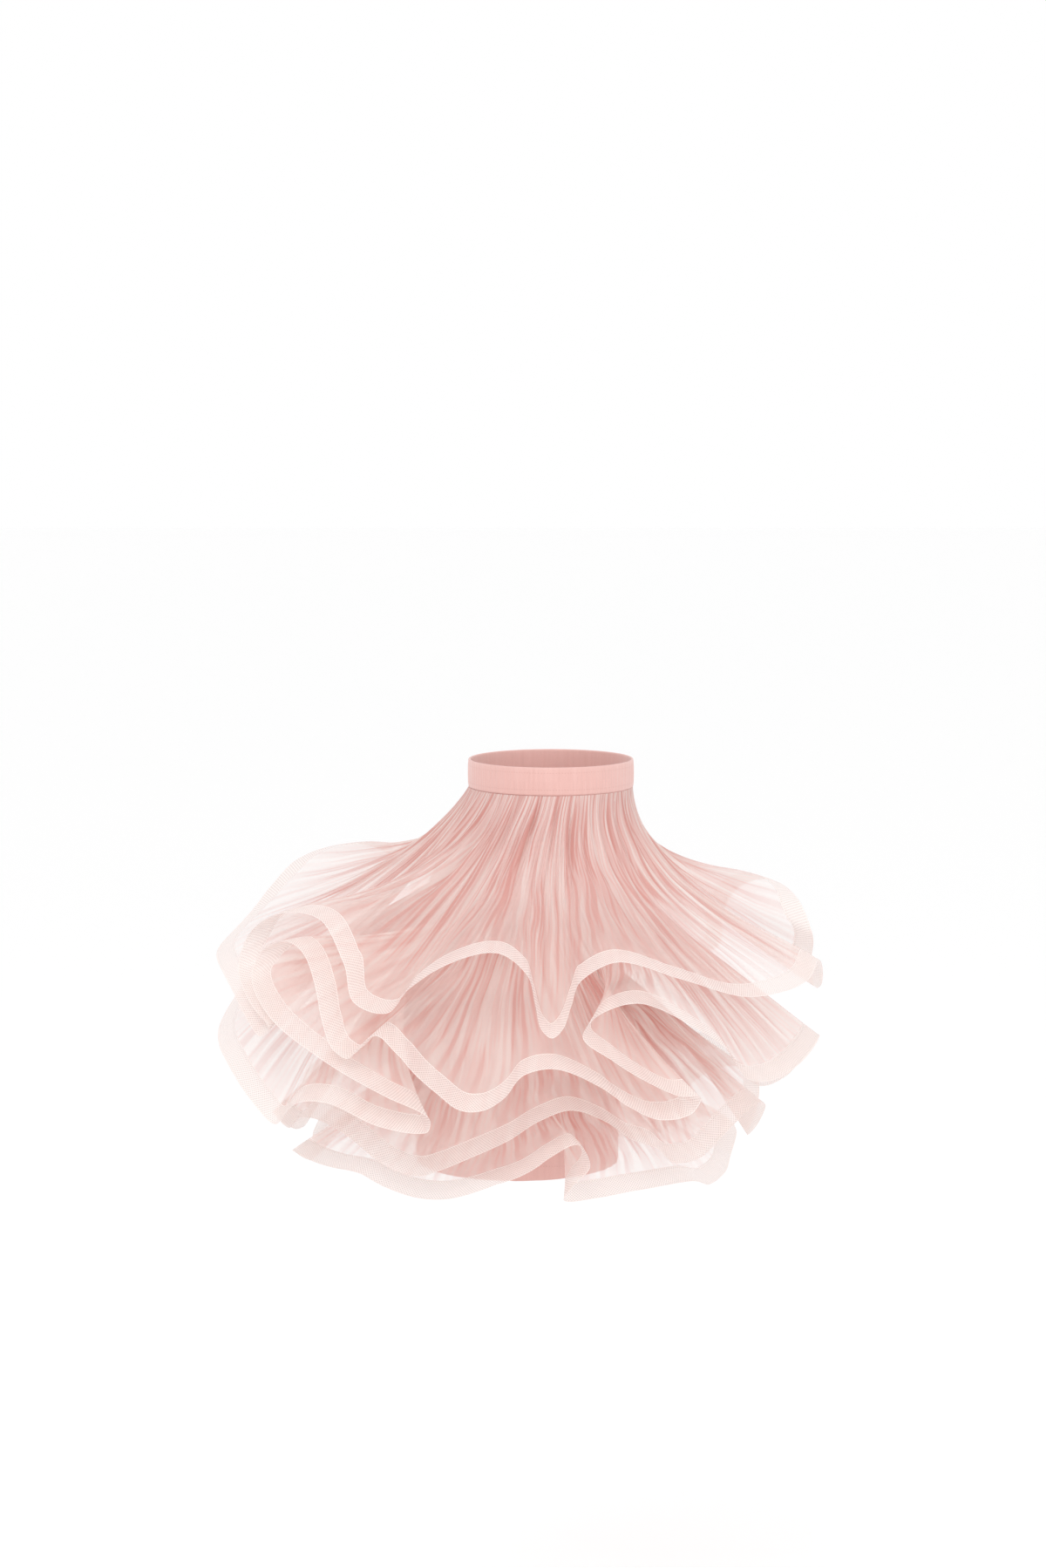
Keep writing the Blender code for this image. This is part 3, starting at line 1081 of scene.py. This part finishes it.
def make_waistband():
    """A closed band: an outline with rounded edges, carried round the waist and ruched.

    The outline is a circle whose cosine and sine are raised to small powers, which squares it. Ruches are
    lower on the inside, and die out at the edges. It also gives the way round the waist and round the band.
    """
    columns, rows = BAND_GRID
    angle = np.linspace(0, 2 * np.pi, columns, endpoint=False)
    width, depth, back = underskirt_sizes(BAND_BOTTOM)
    turn = np.linspace(0, 2 * np.pi, rows, endpoint=False)
    out = np.sign(np.cos(turn)) * np.abs(np.cos(turn)) ** BAND_SQUARE_OUT
    fall = np.sign(np.sin(turn)) * np.abs(np.sin(turn)) ** BAND_SQUARE_FALL
    height = 0.5 * (BAND_TOP + BAND_BOTTOM) - 0.5 * (BAND_TOP - BAND_BOTTOM) * fall
    share = np.repeat((angle / (2 * np.pi))[:, None], rows, axis=1)
    flat_part = np.clip(1 - np.abs(fall), 0, 1) ** 0.5
    ruche = RUCHE_HEIGHT * pleat_wave(share, 0 * share, RUCHES, BAND_SEED) * flat_part
    off = 0.5 * SEAM_OUT + BAND_HALF_WALL * out + np.where(out > 0, ruche, RUCHE_INSIDE * ruche)
    x = -(width + off) * np.sin(angle)[:, None]
    y = back - (depth + off) * np.cos(angle)[:, None]
    points = np.stack([x, y, np.broadcast_to(height, x.shape)], axis=-1)
    around = lengths_round(points[0])
    across = lengths_round(points[:, 0])
    piece = cloth_mesh("waistband_cloth", points, across, np.tile(around, (columns, 1)))
    return piece, across[-1], around[-1]


underskirt, under_round, under_length = make_underskirt()
waistband, band_round, band_around = make_waistband()
waistband.data.materials.append(crepe("waistband_casing", [band_around - BAND_STITCHES, BAND_STITCHES]))
print("underskirt", round(under_round, 3), "m round,", round(under_length, 3), "m long")
print("waistband", round(band_round, 3), "m round,", round(band_around, 3), "m round its section")

# %% [markdown]
# ## Putting each piece on the body
#
# Every piece rides on the one body, and the solid that it replaces is hidden. A flounce is taken to be cut
# as a curved strip, longer at its hem than at its seam, so its flat area is less than that of a rectangle.
# The braid is a straight strip. The underskirt is a tube of cloth and the casing is a strip that is folded
# over the elastic.

for tier, (cloth, braid, hem, depth) in flounces.items():
    for piece, node, slot in ((cloth, f"flounce_{tier}", "organza"), (braid, f"braid_{tier}", "braid")):
        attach(piece, "root")
        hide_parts(node)
    "waistband_cloth" if tier == "1" else "underskirt_cloth"
for piece, node, slot in (
    (underskirt, "underskirt", "underskirt"),
    (waistband, "waistband", "waistband"),
):
    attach(piece, "root")
    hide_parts(node)
print("declared", 2 * len(flounces) + 2, "pieces")

# %% [markdown]
# ## The stage
#
# The photo is a cut-out on pure white, lit softly from all sides. A white world gives that light. One broad
# lamp high on the camera's side and a weaker one towards the front give the cloth its gentle shading. The
# floor is pale and lies where the wearer would stand. Light passes many layers of gauze, so the number of
# clear surfaces that a ray may cross is raised.

# %% The stage
FLOOR_Z = -0.98
FLOOR_HALF = 30.0
FLOOR_COLOUR = (0.99, 0.99, 0.99)
WORLD_COLOUR = (1.0, 1.0, 1.0, 1.0)
WORLD_STRENGTH = 1.0
CLEAR_SURFACES = 48
LIT_POINT = np.array([0.0, 0.0, -0.2])
LAMP_SIZE = 1.6

# Each lamp's name, place in metres and power in watts.
LAMPS = (
    ("key", (-2.6, 0.9, 2.2), 35.0),
    ("front", (-1.2, -3.0, 0.9), 13.0),
)

scene = bpy.context.scene
scene.view_settings.view_transform = "Standard"
scene.cycles.transparent_max_bounces = CLEAR_SURFACES
world = bpy.data.worlds.new("studio")
world.use_nodes = True
sky = world.node_tree.nodes["Background"]
sky.inputs["Color"].default_value = WORLD_COLOUR
sky.inputs["Strength"].default_value = WORLD_STRENGTH
scene.world = world

corners = np.array([(-1, -1), (1, -1), (1, 1), (-1, 1)]) * FLOOR_HALF
floor_mesh = bpy.data.meshes.new("floor")
floor_mesh.from_pydata([(x, y, FLOOR_Z) for x, y in corners], [], [(0, 1, 2, 3)])
floor = bpy.data.objects.new("floor", floor_mesh)
scene.collection.objects.link(floor)
recipe = Recipe("floor_paint")
paint = recipe.node("ShaderNodeBsdfPrincipled", {"Base Color": FLOOR_COLOUR, "Roughness": 0.8})
floor_mesh.materials.append(recipe.finish(paint))


def lamp(name, place, watts):
    """A square area lamp at place, turned so that its light, which leaves along -Z, runs to LIT_POINT."""
    data = bpy.data.lights.new(name, "AREA")
    data.shape = "SQUARE"
    data.size = LAMP_SIZE
    data.energy = watts
    made = bpy.data.objects.new(name, data)
    scene.collection.objects.link(made)
    towards = LIT_POINT - np.array(place)
    made.location = place
    yaw = np.arctan2(towards[1], towards[0]) - np.pi / 2
    pitch = np.arctan2(np.hypot(*towards[:2]), -towards[2])
    made.rotation_euler = (pitch, 0.0, yaw)


for row in LAMPS:
    lamp(*row)
print("stage: floor at", FLOOR_Z, "m,", len(LAMPS), "lamps")
